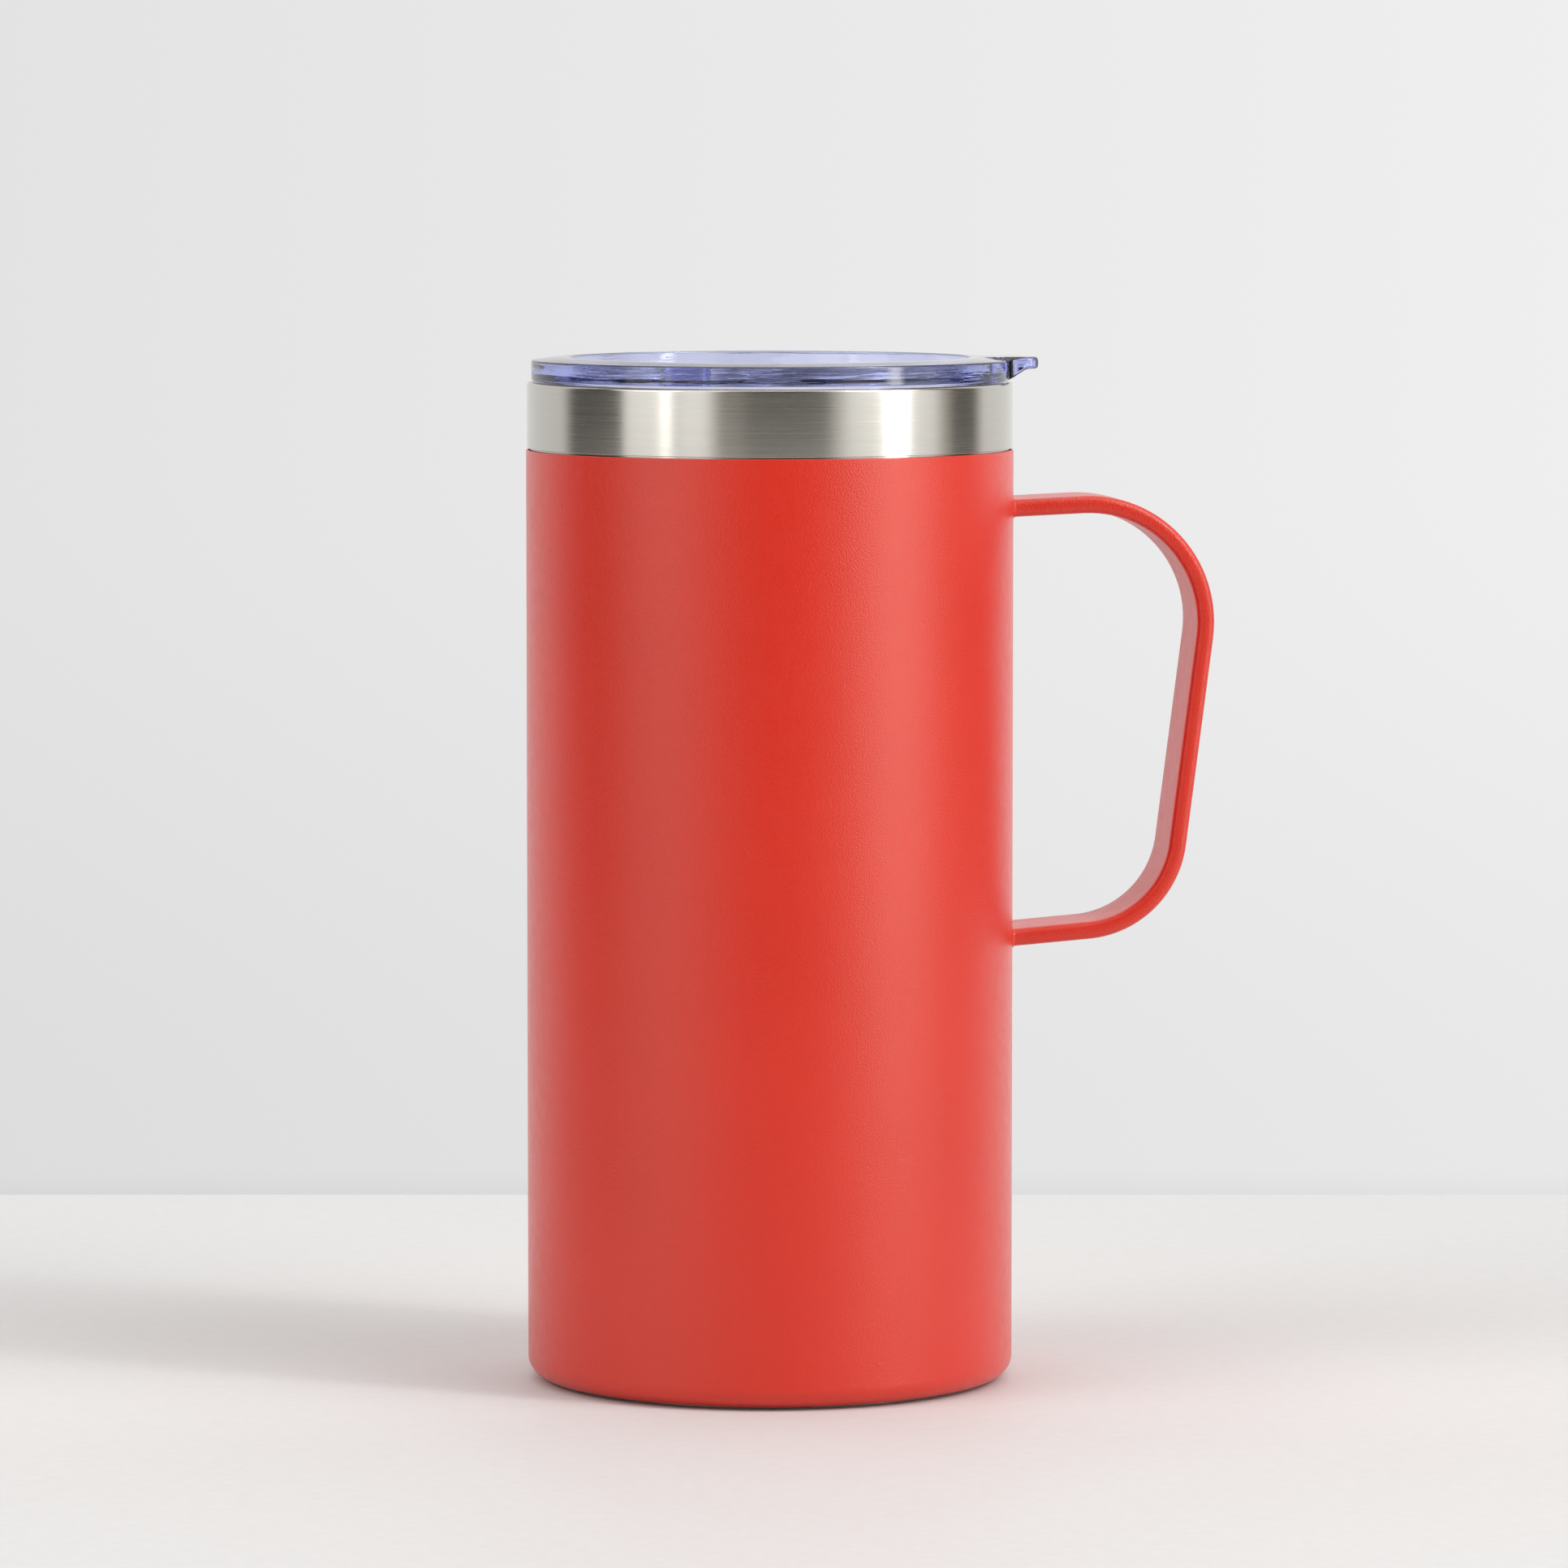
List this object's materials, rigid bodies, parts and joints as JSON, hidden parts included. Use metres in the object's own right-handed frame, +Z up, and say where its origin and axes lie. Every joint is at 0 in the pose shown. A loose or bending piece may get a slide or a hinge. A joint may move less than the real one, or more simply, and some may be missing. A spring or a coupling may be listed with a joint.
{
  "type": "insulated travel mug",
  "caption": "Straight double-walled steel travel mug with a flat strap handle, a powder-coated body, a bare rim band and a clear press-in lid with a sliding closure.",
  "frame": {"origin": "centre of the base, on the surface that the mug stands on", "axes": "+Z up along the mug's axis, +X to the handle and the lid's pull tab, +Y across the handle"},
  "size_m": [0.1187, 0.084, 0.1769],
  "materials": {
    "brushed_steel": "brushed round the band",
    "powder_coat": "coral red powder coat, fine orange-peel texture, satin",
    "coated_steel": "steel under the same coral red powder coat",
    "liner_steel": "electropolished, satin",
    "base_steel": "satin, lightly brushed",
    "foil": "bright crinkled foil",
    "solder_glass": "fused, glossy",
    "getter": "pressed powder, dull",
    "silicone": "translucent, satin",
    "lid_plastic": "clear with a blue-violet tint, polished"
  },
  "bodies": {
    "mug": {"outer_wall": "brushed_steel", "powder_coat": "powder_coat", "liner_tube": "liner_steel", "liner_bottom": "liner_steel", "radiation_foil": "foil", "vacuum_base": "base_steel", "seal_glass": "solder_glass", "getter_holder": "base_steel", "getter_pellet": "getter", "base_cover": "base_steel", "handle": "coated_steel"},
    "gasket": {"lid_gasket": "silicone"},
    "lid": {"lid_body": "lid_plastic"},
    "slider": {"lid_slider": "lid_plastic"}
  },
  "joints": [
    {"name": "lid_lift", "type": "slide", "parent": "mug", "child": "gasket", "axis": [0, 0, 1], "range_m": [0, 0.05]},
    {"name": "lid_turn", "type": "hinge", "parent": "gasket", "child": "lid", "pos_m": [0, 0, 0.1726], "axis": [0, 0, 1], "continuous": true},
    {"name": "lid_slider_slide", "type": "slide", "parent": "lid", "child": "slider", "axis": [1, 0, 0], "range_m": [0, 0.011]}
  ]
}
